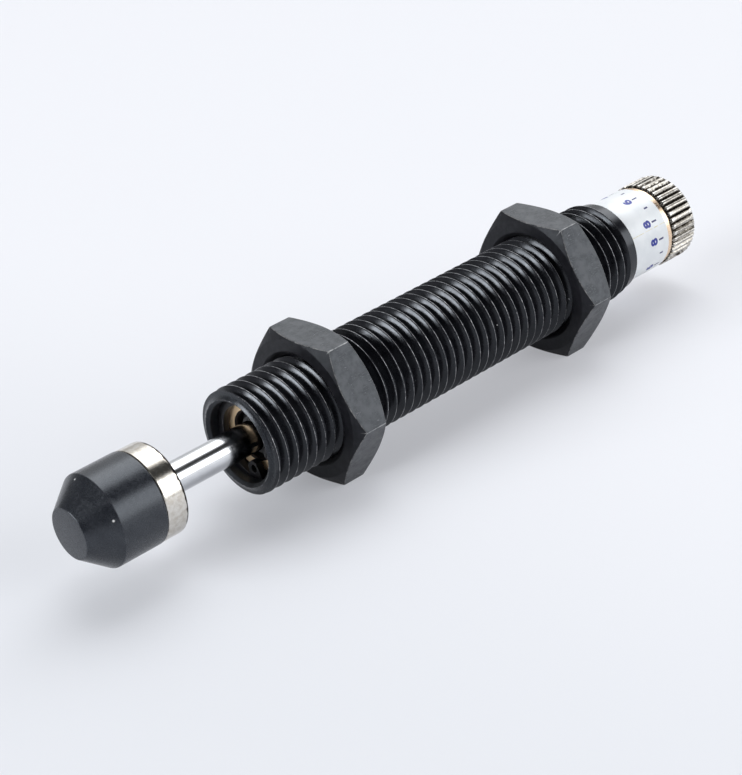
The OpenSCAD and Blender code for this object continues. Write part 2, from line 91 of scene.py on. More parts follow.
TUBE_FACE = TUBE_END - 2.5  # shoulder in front of the rear spigot
BORE_R = TUBE_R - 1.6  # open recess at the mouth
ROD_R = 2.0
GRIP_X = KNOB_END - 5  # front end of the knurl
PITCH = 1.5
CREST_AT = 0.74  # where a thread crest crosses angle 0
ROUND = 96  # steps round the thread
FINE = 144  # steps round the smooth turned pieces


# ---- Node helpers

def add(tree, kind, inputs=None, **settings):
    n = tree.nodes.new("ShaderNode" + kind)
    for key, value in settings.items():
        setattr(n, key, value)
    for key, value in (inputs or {}).items():
        if isinstance(value, bpy.types.NodeSocket):
            tree.links.new(value, n.inputs[key])
        else:
            n.inputs[key].default_value = value
    return n


def math_of(tree, operation, a, b=0.0):
    return add(tree, "Math", {0: a, 1: b}, operation=operation).outputs[0]


def ease(tree, value, low, high, to_low=0.0, to_high=1.0):
    """value's smooth step from low to high, as a number from to_low to to_high."""
    return add(tree, "MapRange", {"Value": value, "From Min": low, "From Max": high,
        "To Min": to_low, "To Max": to_high}, interpolation_type="SMOOTHSTEP").outputs[0]


def noise(tree, where, size, detail=3.0, rough=0.55):
    """Noise with spots of about size mm."""
    return add(tree, "TexNoise", {"Vector": where, "Scale": 1 / size, "Detail": detail,
        "Roughness": rough}).outputs["Fac"]


def blend_of(tree, factor, a, b, kind="RGBA"):
    n = add(tree, "Mix", data_type=kind)
    pins = [s for s in n.inputs if s.enabled]
    for pin, value in zip(pins, (factor, a, b)):
        if isinstance(value, bpy.types.NodeSocket):
            tree.links.new(value, pin)
        elif pin.type == "RGBA":
            pin.default_value = tuple(value) + (1,) * (4 - len(value))
        else:
            pin.default_value = value
    return [s for s in n.outputs if s.enabled][0]


# Where an effect starts and where it's full. Noise stays between about 0.2 and 0.8.
TWO_TONES = (0.36, 0.64)
WIDE = (0.3, 0.7)
SCRATCHED_AREAS = (0.5, 0.6)
SCRATCH_LINE = (0.012, 0.004)  # by how far the noise is from its middle
SPECK_EDGE = (0.07, 0.04)  # by the distance from a cell's point, as a share of the cells' size
DIRT_AND_SHADE_EDGE = (0.3, 0.75)
WEAR_EDGE = (1.2, 1.85)  # by the wear attribute and WEAR_NOISE times the noise
WEAR_NOISE = 1.4
SPECK_CELLS = 0.72  # share of the cells that have no speck
SCRATCH_ANGLES, SCRATCH_STRETCH = (0.4, 0.3, 0.5), (1, 9, 1)
SCRATCH_COLOUR = (0.22, 0.22, 0.23)
COAT_ROUGHNESS = 0.12
COOL_TINT = (0.86, 0.92, 1.0, 1)


def finish(name, base, alt, metallic=0.0, rough=(0.3, 0.4), mottle=1.2, grain=(0.12, 0.01),
           marks=None, wear=None, level=0.5, scratches=0.0, coat=0.0, specks=None, dirt_and_shade=None, cool=False):
    """A surface in object space. base and alt are its two tones, mottle the size of their spots in mm.
    grain and marks are (size, height) in mm of its fine bumps and of its turning marks.
    wear is (colour, metallic, roughness, amount) where the mesh's wear attribute is 1.
    The dirt colour darkens the mesh where its attribute of that name is 1: dark joints and marks, and
    painted shade and painted dark reflections. specks is (distance in mm, colour).
    level is the specular level, scratches how clear the scratches are, and cool tints the reflections."""
    m = bpy.data.materials.new(name)
    m.use_nodes = True
    t = m.node_tree
    shader = t.nodes["Principled BSDF"]
    at = add(t, "VectorMath", {0: add(t, "TexCoord").outputs["Object"], "Scale": 1 / MM},
        operation="SCALE").outputs[0]
    spots = noise(t, at, mottle, 5.0, 0.6)
    fine = noise(t, at, grain[0], 2.0)
    colour = blend_of(t, ease(t, spots, *TWO_TONES), base, alt)
    roughness = ease(t, noise(t, at, mottle * 0.35, 4.0, 0.65), *WIDE, *rough)
    height = math_of(t, "MULTIPLY", fine, grain[1])
    if marks:
        xyz = add(t, "SeparateXYZ", {0: at}).outputs
        out = math_of(t, "SQRT", math_of(t, "ADD", math_of(t, "MULTIPLY", xyz[1], xyz[1]),
            math_of(t, "MULTIPLY", xyz[2], xyz[2])))
        lines = add(t, "CombineXYZ", {0: xyz[0], 1: out}).outputs[0]
        rings = noise(t, lines, marks[0], 3.0, 0.7)
        height = math_of(t, "ADD", height, math_of(t, "MULTIPLY", rings, marks[1]))
        roughness = math_of(t, "ADD", roughness, ease(t, rings, *WIDE, -0.03, 0.05))
        colour = blend_of(t, ease(t, rings, *WIDE, 0.0, 0.25), colour, alt)
    if specks:
        cell = add(t, "TexVoronoi", {"Vector": at, "Scale": 1 / specks[0], "Randomness": 1.0})
        spot = ease(t, cell.outputs["Distance"], *SPECK_EDGE)
        random = add(t, "SeparateXYZ", {0: cell.outputs["Color"]}).outputs[0]
        pick = math_of(t, "GREATER_THAN", random, SPECK_CELLS)
        colour = blend_of(t, math_of(t, "MULTIPLY", spot, pick), colour, specks[1])
    metal = metallic
    if scratches:
        stretched = add(t, "Mapping", {"Vector": at, "Rotation": SCRATCH_ANGLES,
            "Scale": SCRATCH_STRETCH}).outputs[0]
        lines = noise(t, stretched, 1.6, 2.0, 0.4)
        line = ease(t, math_of(t, "ABSOLUTE", math_of(t, "SUBTRACT", lines, 0.5)), *SCRATCH_LINE)
        line = math_of(t, "MULTIPLY", line, ease(t, spots, *SCRATCHED_AREAS, 0.0, scratches))
        colour = blend_of(t, line, colour, SCRATCH_COLOUR)
    # The mesh's attribute for dirt and painted shade darkens the colour: dark joints, painted shade and
    # painted dark reflections.
    if dirt_and_shade:
        low = add(t, "Attribute", attribute_name="dirt_and_shade").outputs["Fac"]
        low = ease(t, math_of(t, "ADD", low, ease(t, spots, *WIDE, -0.25, 0.25)), *DIRT_AND_SHADE_EDGE)
        colour = blend_of(t, low, colour, dirt_and_shade)
    if wear:
        edge = add(t, "Attribute", attribute_name="wear").outputs["Fac"]
        patch = noise(t, at, 0.7, 4.0, 0.7)
        worn = math_of(t, "ADD", edge, math_of(t, "MULTIPLY", patch, WEAR_NOISE))
        worn = ease(t, worn, *WEAR_EDGE, 0.0, wear[3])
        colour = blend_of(t, worn, colour, wear[0])
        if wear[1] != metallic:
            metal = blend_of(t, worn, float(metallic), float(wear[1]), "FLOAT")
        roughness = blend_of(t, worn, roughness, float(wear[2]), "FLOAT")
    bump = add(t, "Bump", {"Strength": 1.0, "Distance": MM, "Height": height})
    t.links.new(bump.outputs[0], shader.inputs["Normal"])
    t.links.new(colour, shader.inputs["Base Color"])
    t.links.new(roughness, shader.inputs["Roughness"])
    if isinstance(metal, bpy.types.NodeSocket):
        t.links.new(metal, shader.inputs["Metallic"])
    else:
        shader.inputs["Metallic"].default_value = metal
    shader.inputs["Specular IOR Level"].default_value = level
    shader.inputs["Coat Weight"].default_value = coat
    shader.inputs["Coat Roughness"].default_value = COAT_ROUGHNESS
    if cool:
        shader.inputs["Specular Tint"].default_value = COOL_TINT
    return m


# ---- Surfaces: black steel

oxide = finish("black_oxide_thread", (0.0060, 0.0060, 0.0085), (0.012, 0.012, 0.015), rough=(0.17, 0.24),
    mottle=1.6, grain=(0.12, 0.0012), wear=((0.62, 0.625, 0.64), 0.5, 0.25, 0.85), level=0.42,
    specks=(2.2, (0.6, 0.6, 0.6)), cool=True)
bore_oxide = finish("machined_mouth", (0.013, 0.015, 0.019), (0.009, 0.010, 0.013), rough=(0.20, 0.28),
    mottle=1.6, marks=(0.06, 0.0012), wear=((0.62, 0.625, 0.64), 0.5, 0.25, 0.85), level=0.42, cool=True)
nut_black = finish("nut_satin_black", (0.078, 0.081, 0.087), (0.040, 0.0425, 0.047), rough=(0.40, 0.52),
    mottle=1.3, grain=(0.10, 0.003), wear=((0.42, 0.42, 0.42), 0.4, 0.3, 0.85), level=0.40, scratches=0.7,
    cool=True)
bore_dark = finish("gland_bore_dark", (0.020, 0.022, 0.026), (0.011, 0.012, 0.015), rough=(0.46, 0.58),
    mottle=1.2, marks=(0.08, 0.002), level=0.4, cool=True)
nut_turned = finish("nut_turned_face", (0.007, 0.007, 0.009), (0.014, 0.014, 0.017), rough=(0.36, 0.46),
    mottle=0.9, grain=(0.10, 0.002), marks=(0.09, 0.003), wear=((0.36, 0.36, 0.36), 0.4, 0.3, 0.7), level=0.2,
    cool=True)
clip_black = finish("spring_steel_black", (0.007, 0.007, 0.009), (0.012, 0.012, 0.014), rough=(0.28, 0.42),
    mottle=0.6, grain=(0.08, 0.005), wear=((0.5, 0.5, 0.52), 0.9, 0.3, 0.7), level=0.2)
screw_black = finish("set_screw_black", (0.020, 0.021, 0.024), (0.032, 0.033, 0.037), rough=(0.3, 0.42),
    mottle=0.5, grain=(0.08, 0.004))


# ---- Surfaces: bare and plated metal

# The rod's dirt colour darkens it towards the tube's mouth.
chrome = finish("hard_chrome_rod", (0.67, 0.68, 0.70), (0.62, 0.63, 0.65), metallic=1.0, rough=(0.11, 0.17),
    mottle=3.0, grain=(0.3, 0.0006), marks=(0.04, 0.0005), dirt_and_shade=(0.045, 0.048, 0.052))
# The ring's dirt colour is the dark joint with the bumper and a painted dark reflection round the rear edge.
nickel = finish("nickel_ring", (0.71, 0.685, 0.64), (0.58, 0.54, 0.48), metallic=1.0, rough=(0.07, 0.17),
    mottle=0.7, grain=(0.14, 0.003), marks=(0.05, 0.001), dirt_and_shade=(0.020, 0.012, 0.010))
# Its dirt colour paints shade in the grooves, and its wear colour is worn rib edges and painted highlights at
# the rib ends.
knob_metal = finish("knob_nickel", (0.50, 0.475, 0.435), (0.27, 0.25, 0.22), metallic=1.0, rough=(0.2, 0.34),
    mottle=0.38, grain=(0.09, 0.006), marks=(0.08, 0.0015), wear=((0.80, 0.785, 0.75), 1.0, 0.2, 0.85),
    dirt_and_shade=(0.030, 0.025, 0.020))
knob_face = finish("knob_nickel_face", (0.60, 0.585, 0.555), (0.50, 0.48, 0.445), metallic=1.0,
    rough=(0.2, 0.3), mottle=2.2, grain=(0.2, 0.002), marks=(0.13, 0.005))
# Its dirt colour paints shade where the barrel meets the knurl.
barrel_metal = finish("knob_barrel_gold", (0.84, 0.65, 0.47), (0.74, 0.56, 0.40), metallic=1.0,
    rough=(0.22, 0.32), marks=(0.06, 0.002), dirt_and_shade=(0.05, 0.036, 0.026))
# The brass's dirt colour is black round the rod and painted shade under the retaining ring's lugs.
brass = finish("brass_washer", (0.98, 0.76, 0.50), (0.90, 0.67, 0.43), metallic=1.0, rough=(0.36, 0.46),
    mottle=0.9, marks=(0.12, 0.0015), dirt_and_shade=(0.016, 0.012, 0.010))
bronze = finish("bearing_bronze", (0.55, 0.38, 0.2), (0.42, 0.28, 0.15), metallic=1.0, rough=(0.3, 0.45),
    marks=(0.08, 0.003))
steel = finish("ground_steel", (0.60, 0.61, 0.63), (0.48, 0.49, 0.51), metallic=1.0, rough=(0.2, 0.34),
    marks=(0.05, 0.002))
spring_steel = finish("spring_steel", (0.50, 0.50, 0.52), (0.38, 0.38, 0.40), metallic=1.0, rough=(0.3, 0.42))


# ---- Surfaces: rubber, plastic, label and print

rubber = finish("nitrile_rubber", (0.022, 0.022, 0.023), (0.036, 0.035, 0.035), rough=(0.5, 0.7),
    grain=(0.06, 0.008))
seal = finish("polyurethane_seal", (0.13, 0.05, 0.03), (0.09, 0.035, 0.02), rough=(0.3, 0.45))
foam = finish("accumulator_foam", (0.16, 0.17, 0.2), (0.10, 0.105, 0.13), rough=(0.8, 0.95), mottle=0.5,
    grain=(0.25, 0.12))
urethane = finish("bumper_urethane", (0.010, 0.0115, 0.016), (0.017, 0.019, 0.024), rough=(0.22, 0.31),
    mottle=1.4, grain=(0.15, 0.006), wear=((0.06, 0.06, 0.07), 0.0, 0.35, 0.45), level=0.60,
    specks=(3.1, (0.6, 0.6, 0.6)), cool=True)
foil = finish("label_foil", (0.81, 0.83, 0.85), (0.75, 0.775, 0.80), rough=(0.28, 0.38), mottle=2.5,
    grain=(0.2, 0.002), wear=((0.62, 0.55, 0.36), 0.0, 0.4, 0.6), coat=0.2)
ink = finish("label_ink_blue", (0.008, 0.018, 0.24), (0.018, 0.034, 0.32), rough=(0.35, 0.45), mottle=0.3,
    grain=(0.08, 0.002))
seam_brown = finish("label_seam_glue", (0.62, 0.56, 0.36), (0.76, 0.74, 0.62), rough=(0.4, 0.5), mottle=0.4)
tick_ink = finish("label_ink_dark", (0.020, 0.024, 0.12), (0.045, 0.048, 0.16), rough=(0.35, 0.45),
    mottle=0.2, grain=(0.08, 0.002))


# ---- Mesh helpers: all shapes are written in mm

def on_axis(x, r, angle):
    """A point at r from the axis, its angle measured upwards from the -Y side, in radians."""
    return (x, -r * math.cos(angle), r * math.sin(angle))


def angle_of(v):
    return math.atan2(v[2], -v[1])


def face_outwards(mesh):
    bm = bmesh.new()
    bm.from_mesh(mesh)
    bmesh.ops.recalc_face_normals(bm, faces=bm.faces)
    bm.to_mesh(mesh)
    bm.free()


def raw_object(name, verts, faces):
    mesh = bpy.data.meshes.new(name)
    mesh.from_pydata([tuple(c * MM for c in v) for v in verts], [], faces)
    face_outwards(mesh)
    made = bpy.data.objects.new(name, mesh)
    scene.collection.objects.link(made)
    return made


def cut(target, tool, operation):
    """target with tool cut from it or met with it, for good."""
    m = target.modifiers.new("cut", "BOOLEAN")
    m.object, m.operation, m.solver = tool, operation, "MANIFOLD"
    bpy.context.view_layer.update()
    made = bpy.data.meshes.new_from_object(target.evaluated_get(bpy.context.evaluated_depsgraph_get()))
    target.modifiers.clear()
    target.data = made
    bpy.data.objects.remove(tool)


def done(piece, body, materials, node=None, sharp=35, wear=None, pick=None, flat=True, dirt_and_shade=None):
    """Shades a piece and gives it its body, its materials, its wear and its dirt and painted shade, as
    functions of a point in mm. pick gives a face's material by its centre and normal. flat keeps large faces
    flat at edges."""
    mesh = piece.data
    mesh.materials.clear()
    for m in materials:
        mesh.materials.append(m)
    if pick:
        for p in mesh.polygons:
            p.material_index = pick([c / MM for c in p.center], p.normal)
    mesh.polygons.foreach_set("use_smooth", [True] * len(mesh.polygons))
    mesh.set_sharp_from_angle(angle=math.radians(sharp))
    for name, of in (("wear", wear), ("dirt_and_shade", dirt_and_shade)):
        if of:
            old = mesh.attributes.get(name)
            if old:
                mesh.attributes.remove(old)
            values = mesh.attributes.new(name, "FLOAT", "POINT")
            values.data.foreach_set("value", [of([c / MM for c in v.co]) for v in mesh.vertices])
    if flat:
        w = piece.modifiers.new("weighted", "WEIGHTED_NORMAL")
        w.keep_sharp, w.weight = True, 60
    if node:
        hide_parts(node)
    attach(piece, body)
    return piece


CORNER = 0.05  # rounding of a corner that names none
CORNER_SHARE = 0.42  # the most that a rounding takes of either side
CORNER_WEAR = (0.0, 0.6, 1.0, 0.6, 0.0)


def soften(points):
    """A closed profile [(x, r), ...] with each corner turned into a short curve, and each point's wear.
    A third number in points is that corner's own size."""
    out = []
    n = len(points)
    for i, p in enumerate(points):
        a, b = points[i - 1], points[(i + 1) % n]
        size = p[2] if len(p) > 2 else CORNER
        la = math.hypot(a[0] - p[0], a[1] - p[1])
        lb = math.hypot(b[0] - p[0], b[1] - p[1])
        if p[1] < 1e-6 or size <= 0 or min(la, lb) < 1e-6:
            out.append((p[0], p[1], 0.0))
            continue
        c = min(size, CORNER_SHARE * la, CORNER_SHARE * lb)
        pa = (p[0] + (a[0] - p[0]) * c / la, p[1] + (a[1] - p[1]) * c / la)
        pb = (p[0] + (b[0] - p[0]) * c / lb, p[1] + (b[1] - p[1]) * c / lb)
        for k, wear in enumerate(CORNER_WEAR):
            u = k / (len(CORNER_WEAR) - 1)
            q = [(1 - u) ** 2 * pa[j] + 2 * u * (1 - u) * p[j] + u * u * pb[j] for j in (0, 1)]
            out.append((q[0], q[1], wear))
    return out


def turned(name, points, steps=ROUND):
    """A solid turned about the axis from a closed profile, with its wear kept as an attribute."""
    profile = soften(points)
    verts, faces, rings, wear = [], [], [], []
    for x, r, w in profile:
        if r < 1e-6:
            rings.append([len(verts)] * steps)
            verts.append((x, 0, 0))
            wear.append(w)
            continue
        rings.append(list(range(len(verts), len(verts) + steps)))
        for k in range(steps):
            verts.append(on_axis(x, r, 2 * PI * k / steps))
            wear.append(w)
    n = len(rings)
    for i in range(n):
        p, q = rings[i], rings[(i + 1) % n]
        if profile[i][1] < 1e-6 and profile[(i + 1) % n][1] < 1e-6:
            continue
        for k in range(steps):
            j = (k + 1) % steps
            face = []
            for v in (p[k], q[k], q[j], p[j]):
                if v not in face:
                    face.append(v)
            if len(face) > 2:
                faces.append(face)
    made = raw_object(name, verts, faces)
    values = made.data.attributes.new("wear", "FLOAT", "POINT")
    values.data.foreach_set("value", wear)
    return made


# ---- Threaded tube: a helical thread, met with the turned outline of the tube

# Half of the thread's profile from its crest: (distance along the axis, radius)
THREAD = [(0.032, 6.9965), (0.065, 6.9865), (0.096, 6.968), (0.122, 6.942), (0.144, 6.912), (0.33, 6.646),
    (0.60, 6.210), (0.645, 6.152), (0.70, 6.118)]
ROOT_R, CORE_R = 6.085, 6.0
COLLAR_X, COLLAR_R = TUBE_FACE - 1.45, TUBE_R - 0.55  # plain rear end of the thread
FADE = 0.5  # length over which the thread rises to the collar
MOUTH_FILL, FILL_SLOPE = 0.42, 2.4  # the thread's groove is filled up to here, and then runs out


def helix_solid(name):
    """The thread as one closed solid, longer than the tube at both ends."""
    offsets = [(-0.75, ROOT_R)] + [(-o, r) for o, r in reversed(THREAD)] + [(0, TUBE_R)] + THREAD
    n = len(offsets)
    first, turns = -3, int(TUBE_FACE / PITCH) + 6
    rows = turns * n
    verts = []
    for i in range(rows + 1):
        off, r = offsets[i % n]
        for j in range(ROUND):
            x = CREST_AT + (first + i // n) * PITCH + off - PITCH * j / ROUND
            low = CORE_R + clamp((x - COLLAR_X + FADE) / FADE) * (COLLAR_R + 0.05 - CORE_R)
            low = max(low, TUBE_R - 0.05 - max(0, x - MOUTH_FILL) * FILL_SLOPE)
            verts.append(on_axis(x, max(r, low), 2 * PI * j / ROUND))

    def v(i, j):
        return i * ROUND + j
    faces = []
    for i in range(rows):
        for j in range(ROUND - 1):
            faces.append((v(i, j), v(i + 1, j), v(i + 1, j + 1), v(i, j + 1)))
        if i >= n:
            faces.append((v(i, ROUND - 1), v(i + 1, ROUND - 1), v(i + 1 - n, 0), v(i - n, 0)))
    front = [v(0, j) for j in range(ROUND)] + [v(i, ROUND - 1) for i in range(1, n + 1)]
    rear = [v(rows, j) for j in range(ROUND)] + [v(rows - n + i, 0) for i in range(n)]
    for loop, outermost, step in ((front, min, -1), (rear, max, 1)):
        centre = len(verts)
        verts.append((outermost(verts[k][0] for k in loop) + step, 0, 0))
        for a, b in zip(loop, loop[1:] + loop[:1]):
            faces.append((centre, a, b))
    return raw_object(name, verts, faces)


LIP_X, LIP_R = 0.40, TUBE_R - 0.14  # outer edge of the mouth's slope
CLEAR_R = 7.35  # outside the thread
SPIGOT_R, STEM_HOLE_R, MAIN_R = 4.0, 2.55, 5.0  # rear spigot, its hole and the main bore
MAIN_X, WALL_X = 19.7, TUBE_FACE - 6  # ends of the main bore
tube = helix_solid("threaded_tube")
outline = turned("outline", [
    (0, BORE_R + 0.48, 0.015), (0.03, 5.924, 0.01), (0.15, 6.095, 0), (0.27, 6.266, 0), (0.34, 6.43, 0),
    (0.37, 6.60, 0), (LIP_X, LIP_R, 0.02), (0.62, CLEAR_R, 0),
    (COLLAR_X - 0.9, CLEAR_R, 0), (COLLAR_X, COLLAR_R, 0.04), (TUBE_FACE, COLLAR_R, 0.06),
    (TUBE_FACE, SPIGOT_R, 0.05), (TUBE_END - 0.3, SPIGOT_R, 0.04), (TUBE_END, SPIGOT_R - 0.3, 0.04),
    (TUBE_END, STEM_HOLE_R, 0.04), (WALL_X, STEM_HOLE_R, 0), (WALL_X, MAIN_R, 0), (MAIN_X, MAIN_R, 0),
    (MAIN_X, BORE_R, 0), (CLIP_END + 0.02, BORE_R, 0.02), (CLIP_END + 0.02, BORE_R + 0.35, 0),
    (CLIP_X - 0.02, BORE_R + 0.35, 0), (CLIP_X - 0.02, BORE_R, 0.02), (0.4, BORE_R, 0.04),
    (0, BORE_R + 0.42, 0.04)])
cut(tube, outline, "INTERSECT")


def tube_wear(v):
    """Worn crests, and the inner and the outer edge of the mouth's slope."""
    r = math.hypot(v[1], v[2])
    crest = clamp((r - 6.985) / 0.015) * 0.82
    inner = 0.6 if v[0] < 0.03 and BORE_R + 0.38 < r < BORE_R + 0.55 else 0
    outer = 0.45 if abs(v[0] - LIP_X) < 0.03 and abs(r - LIP_R) < 0.03 else 0
    return max(crest, inner, outer)


def tube_part(c, n):
    """0 is the thread, 1 the mouth's slope and 2 the bores."""
    r = math.hypot(c[1], c[2])
    if c[0] < LIP_X and r < LIP_R and n[0] < -0.2 and r > BORE_R + 0.4:
        return 1
    return 2 if r < BORE_R + 0.43 and c[0] < WALL_X + 0.1 else 0


done(tube, "tube", [oxide, bore_oxide, bore_dark], "body_tube", sharp=40, wear=tube_wear,
    pick=tube_part, flat=False)


# ---- Retaining ring, in its own plane first: its own X axis is the middle of the gap

CLIP_TURN = math.radians(-48)  # where the gap points


def clip_ring():
    out_r, band_r, band_shift = BORE_R + 0.33, BORE_R - 0.642, 0.378  # the inner edge is off centre
    lug, half, tip, hole_r = math.radians(34), 1.05, 4.12, 0.52  # a lug's angle, half width and hole
    gap = math.radians(20.5)  # half of the gap

    def turn(p, a):
        return (p[0] * math.cos(a) - p[1] * math.sin(a), p[0] * math.sin(a) + p[1] * math.cos(a))
    side = [(out_r * math.cos(gap), out_r * math.sin(gap))]
    for k in range(13):  # round the lug's tip
        b = math.radians(217.5 + (90 - 217.5) * k / 12)
        side.append(turn((tip + half * math.cos(b), half * math.sin(b)), lug))
    x = tip  # along the lug's other side to the inner edge
    while math.dist(turn((x, half), lug), (band_shift, 0)) < band_r:
        x += 0.01
    meet = turn((x, half), lug)
    a0 = math.atan2(meet[1], meet[0] - band_shift)
    round_in, round_out = 2 * PI - 2 * a0, 2 * PI - 2 * gap
    inner = [(band_shift + band_r * math.cos(a0 + round_in * k / 56),
        band_r * math.sin(a0 + round_in * k / 56)) for k in range(57)]
    other = [(p[0], -p[1]) for p in reversed(side)]
    outer = [(out_r * math.cos(-gap - round_out * k / 80), out_r * math.sin(-gap - round_out * k / 80))
        for k in range(1, 80)]
    loops = [side + inner + other + outer]
    for s in (1, -1):
        c = turn((tip, 0), s * lug)
        loops.append([(c[0] + hole_r * math.cos(k * PI / 12), c[1] + hole_r * math.sin(k * PI / 12))
            for k in range(24)])
    bm = bmesh.new()
    edges = []
    for loop in loops:
        ring = []
        for p in loop:
            a = CLIP_TURN + math.atan2(p[1], p[0])
            ring.append(bm.verts.new([c * MM for c in on_axis(CLIP_X, math.hypot(*p), a)]))
        edges += [bm.edges.new((p, q)) for p, q in zip(ring, ring[1:] + ring[:1])]
    bmesh.ops.triangle_fill(bm, edges=edges, use_beauty=True)
    grown = bmesh.ops.extrude_face_region(bm, geom=bm.faces[:])
    for g in grown["geom"]:
        if isinstance(g, bmesh.types.BMVert):
            g.co.x = CLIP_END * MM
    bmesh.ops.recalc_face_normals(bm, faces=bm.faces)
    rim = [e for e in bm.edges if e.is_manifold and e.calc_face_angle(0) > 1.0]
    bmesh.ops.bevel(bm, geom=rim, offset=0.07 * MM, segments=2, profile=0.5, affect="EDGES",
        clamp_overlap=True)
    mesh = bpy.data.meshes.new("retaining_ring")
    bm.to_mesh(mesh)
    bm.free()
    made = bpy.data.objects.new("retaining_ring", mesh)
    scene.collection.objects.link(made)
    return made


def clip_wear(v):
    """The bevel of the front edges."""
    return 0.8 if 0.01 < v[0] - CLIP_X < 0.06 else 0


done(clip_ring(), "tube", [clip_black], "circlip", wear=clip_wear)


# ---- Stop washer

WASHER_HOLE_R = 3.0


def washer_shade_and_dark_ring(v):
    """Black round the rod, and painted shade on the lower outer part, under the lugs of the retaining ring.
    """
    r, a = math.hypot(v[1], v[2]), math.degrees(angle_of(v))
    return 1.0 if r < 3.38 or r > 4.55 and -170 < a < -14 else 0.0


done(turned("stop_washer_turned", [
    (WASHER_X, WASHER_HOLE_R + 0.15, 0.04), (WASHER_X, 3.35, 0), (WASHER_X, 3.5, 0), (WASHER_X, 4.5, 0),
    (WASHER_X, 4.7, 0), (WASHER_X, BORE_R - 0.02, 0.05), (WASHER_END, BORE_R - 0.02),
    (WASHER_END, WASHER_HOLE_R), (WASHER_X + 0.15, WASHER_HOLE_R, 0.05)]),
    "tube", [brass], "stop_washer", dirt_and_shade=washer_shade_and_dark_ring)


# ---- Bumper, its holder and the rod

ring_front = RING_END - 3.15  # front of the holder's visible ring
cap_rear = ring_front - 0.02
cap_base = cap_rear - 6.2
tip_r = 3.3
done(turned("bumper_cap_moulded", [
    (CAP_TIP, 0), (CAP_TIP, tip_r, 0.12), (cap_base, CAP_R, 0.12), (cap_rear, CAP_R, 0.2),
    (cap_rear, 2.92), (cap_rear - 1.78, 2.92), (cap_rear - 1.78, 3.92), (cap_rear - 2.35, 3.92),
    (cap_rear - 3.5, 3.14), (cap_rear - 3.5, 0)], steps=FINE), "rod", [urethane], "bumper_cap")


def ring_joint_and_dark_reflection(v):
    """Black in the joint with the bumper, and a painted dark reflection round the rear edge."""
    if v[0] < ring_front + 0.05:
        return 1.0
    return clamp((v[0] - RING_END + 0.6) / 0.3) if math.hypot(v[1], v[2]) > RING_R - 0.65 else 0.0


socket_x = RING_END - 2.1  # bottom of the holder's hole for the rod
done(turned("bumper_holder_ring", [
    (RING_X, 0), (RING_X, 3.12), (RING_X + 1.13, 3.9), (RING_X + 1.7, 3.9), (RING_X + 1.7, 2.9),
    (ring_front, 2.9), (ring_front, RING_R - 0.16, 0.05), (ring_front + 0.16, RING_R, 0.06),
    (RING_END, RING_R, 0.62), (RING_END, ROD_R + 0.02, 0.06), (socket_x, ROD_R + 0.02), (socket_x, 0)],
    steps=FINE), "rod", [nickel], "bumper_holder", dirt_and_shade=ring_joint_and_dark_reflection)

# How much the rod is darkened, by x: (x, amount). It is most at the tube's mouth.
ROD_DARKENING = [(-5.2, 0.0), (-3.8, 0.25), (-2.4, 0.42), (-1.2, 0.53), (0.0, 0.56), (1.0, 0.42), (2.5, 0.36),
    (4.0, 0.2), (6.0, 0.0)]


def rod_darkening(v):
    """Darker towards the tube's mouth, where the rod goes in and out."""
    return max((amount for x, amount in ROD_DARKENING if abs(v[0] - x) < 0.01), default=0.0)


piston_seat = PISTON_X - 0.02
done(turned("piston_rod_chromed", [
    (ROD_X, 0), (ROD_X, 1.1), (ROD_X + 0.3, 1.4), (socket_x, 1.4), (socket_x, ROD_R)]
    + [(x, ROD_R, 0) for x, _ in ROD_DARKENING] + [(piston_seat, ROD_R), (piston_seat, 1.4), (ROD_END - 0.3, 1.4),
    (ROD_END, 1.1), (ROD_END, 0)], steps=FINE), "rod", [chrome], "piston_rod", dirt_and_shade=rod_darkening)


# ---- Lock nuts: a rounded hexagon, with both faces turned off at 30 degrees

HEX_POWER = 160  # the higher, the sharper the hexagon's corners
HEX_STEPS = [0, 0.3, 0.6, 1.0, 1.6, 2.6, 5, 8, 12, 16, 20, 25, 30]  # degrees from a corner to a flat's middle


